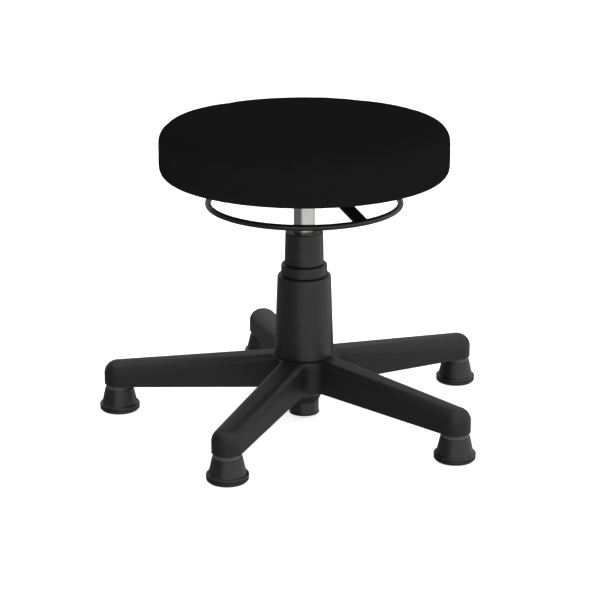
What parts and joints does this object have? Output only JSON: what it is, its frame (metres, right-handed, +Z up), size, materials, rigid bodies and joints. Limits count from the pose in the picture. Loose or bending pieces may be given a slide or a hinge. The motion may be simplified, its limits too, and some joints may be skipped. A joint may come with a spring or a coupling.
{
  "type": "swivel stool",
  "caption": "Low round swivel stool with a padded fabric seat, gas lift with a release hoop, stepped column covers and a star base on bell glides.",
  "frame": {"origin": "on the column axis at floor level", "axes": "+Z up along the column, +X along the arm of the release bar that lifts"},
  "size_m": [0.5336, 0.5197, 0.4066],
  "materials": {
    "seat_fabric": "fine plain-weave black upholstery",
    "foam": "open-cell polyurethane foam, hidden",
    "plywood": "birch plywood, hidden",
    "underside_cloth": "black spunbond underside cloth",
    "black_steel": "black satin powder coat",
    "column_steel": "ground and polished steel",
    "zinc_steel": "zinc-plated steel",
    "brass": "turned brass, hidden",
    "bush_plastic": "natural acetal, hidden",
    "rubber": "black rubber, hidden",
    "cover_plastic": "satin black moulded plastic",
    "base_nylon": "fine-textured black nylon",
    "glide_nylon": "smooth black nylon"
  },
  "bodies": {
    "base": {"star_base": "base_nylon", "lower_cover": "cover_plastic", "upper_cover": "cover_plastic", "outer_tube": "black_steel", "guide_bush": "bush_plastic", "bearing_lower_race": "zinc_steel", "bearing_cage": "bush_plastic", "bearing_balls": "zinc_steel", "clip_washer": "zinc_steel", "glide_grip_1": "zinc_steel", "glide_grip_2": "zinc_steel", "glide_grip_3": "zinc_steel", "glide_grip_4": "zinc_steel", "glide_grip_5": "zinc_steel"},
    "middle_sleeve": {"middle_cover": "cover_plastic"},
    "spindle": {"piston_rod": "zinc_steel", "piston": "brass", "bearing_upper_race": "zinc_steel", "bump_stop": "rubber", "retaining_clip": "zinc_steel"},
    "lift": {"pressure_tube": "column_steel", "valve_body": "brass", "tube_gland": "brass", "seat_socket": "black_steel", "seat_plate": "black_steel", "spring_washers": "zinc_steel", "plate_screws": "zinc_steel", "tee_nuts": "zinc_steel", "seat_board": "plywood", "seat_foam": "foam", "seat_cover": "seat_fabric", "underside_cloth": "underside_cloth"},
    "release": {"release_ring": "black_steel", "release_bar": "black_steel"},
    "pin": {"release_pin": "zinc_steel"},
    "glide_1": {"glide_sole_1": "glide_nylon", "glide_bell_1": "glide_nylon", "glide_stem_1": "zinc_steel"},
    "glide_2": {"glide_sole_2": "glide_nylon", "glide_bell_2": "glide_nylon", "glide_stem_2": "zinc_steel"},
    "glide_3": {"glide_sole_3": "glide_nylon", "glide_bell_3": "glide_nylon", "glide_stem_3": "zinc_steel"},
    "glide_4": {"glide_sole_4": "glide_nylon", "glide_bell_4": "glide_nylon", "glide_stem_4": "zinc_steel"},
    "glide_5": {"glide_sole_5": "glide_nylon", "glide_bell_5": "glide_nylon", "glide_stem_5": "zinc_steel"}
  },
  "joints": [
    {"name": "seat_swivel", "type": "hinge", "parent": "base", "child": "spindle", "pos_m": [0, 0, 0.02], "axis": [0, 0, 1], "continuous": true},
    {"name": "seat_height", "type": "slide", "parent": "spindle", "child": "lift", "axis": [0, 0, 1], "range_m": [-0.035, 0.045]},
    {"name": "ring_lift", "type": "hinge", "parent": "lift", "child": "release", "pos_m": [0.036, 0, 0.3292], "axis": [0, -1, 0], "range_deg": [0, 6], "stiffness_Nm_per_rad": 6, "springref_deg": -6.88},
    {"name": "pin_press", "type": "slide", "parent": "lift", "child": "pin", "axis": [0, 0, -1], "range_m": [0, 0.0039]},
    {"name": "middle_cover_slide", "type": "slide", "parent": "base", "child": "middle_sleeve", "axis": [0, 0, 1], "range_m": [0, 0.04]},
    {"name": "glide_1_swivel", "type": "hinge", "parent": "base", "child": "glide_1", "pos_m": [0.24468, 0.06237, 0.04], "axis": [0, 0, 1], "continuous": true},
    {"name": "glide_2_swivel", "type": "hinge", "parent": "base", "child": "glide_2", "pos_m": [0.01629, 0.25197, 0.04], "axis": [0, 0, 1], "continuous": true},
    {"name": "glide_3_swivel", "type": "hinge", "parent": "base", "child": "glide_3", "pos_m": [-0.23461, 0.09336, 0.04], "axis": [0, 0, 1], "continuous": true},
    {"name": "glide_4_swivel", "type": "hinge", "parent": "base", "child": "glide_4", "pos_m": [-0.16129, -0.19427, 0.04], "axis": [0, 0, 1], "continuous": true},
    {"name": "glide_5_swivel", "type": "hinge", "parent": "base", "child": "glide_5", "pos_m": [0.13492, -0.21343, 0.04], "axis": [0, 0, 1], "continuous": true}
  ],
  "couplings": [
    {"joint": "pin_press", "follows": "ring_lift", "m_per_rad": 0.0367}
  ]
}
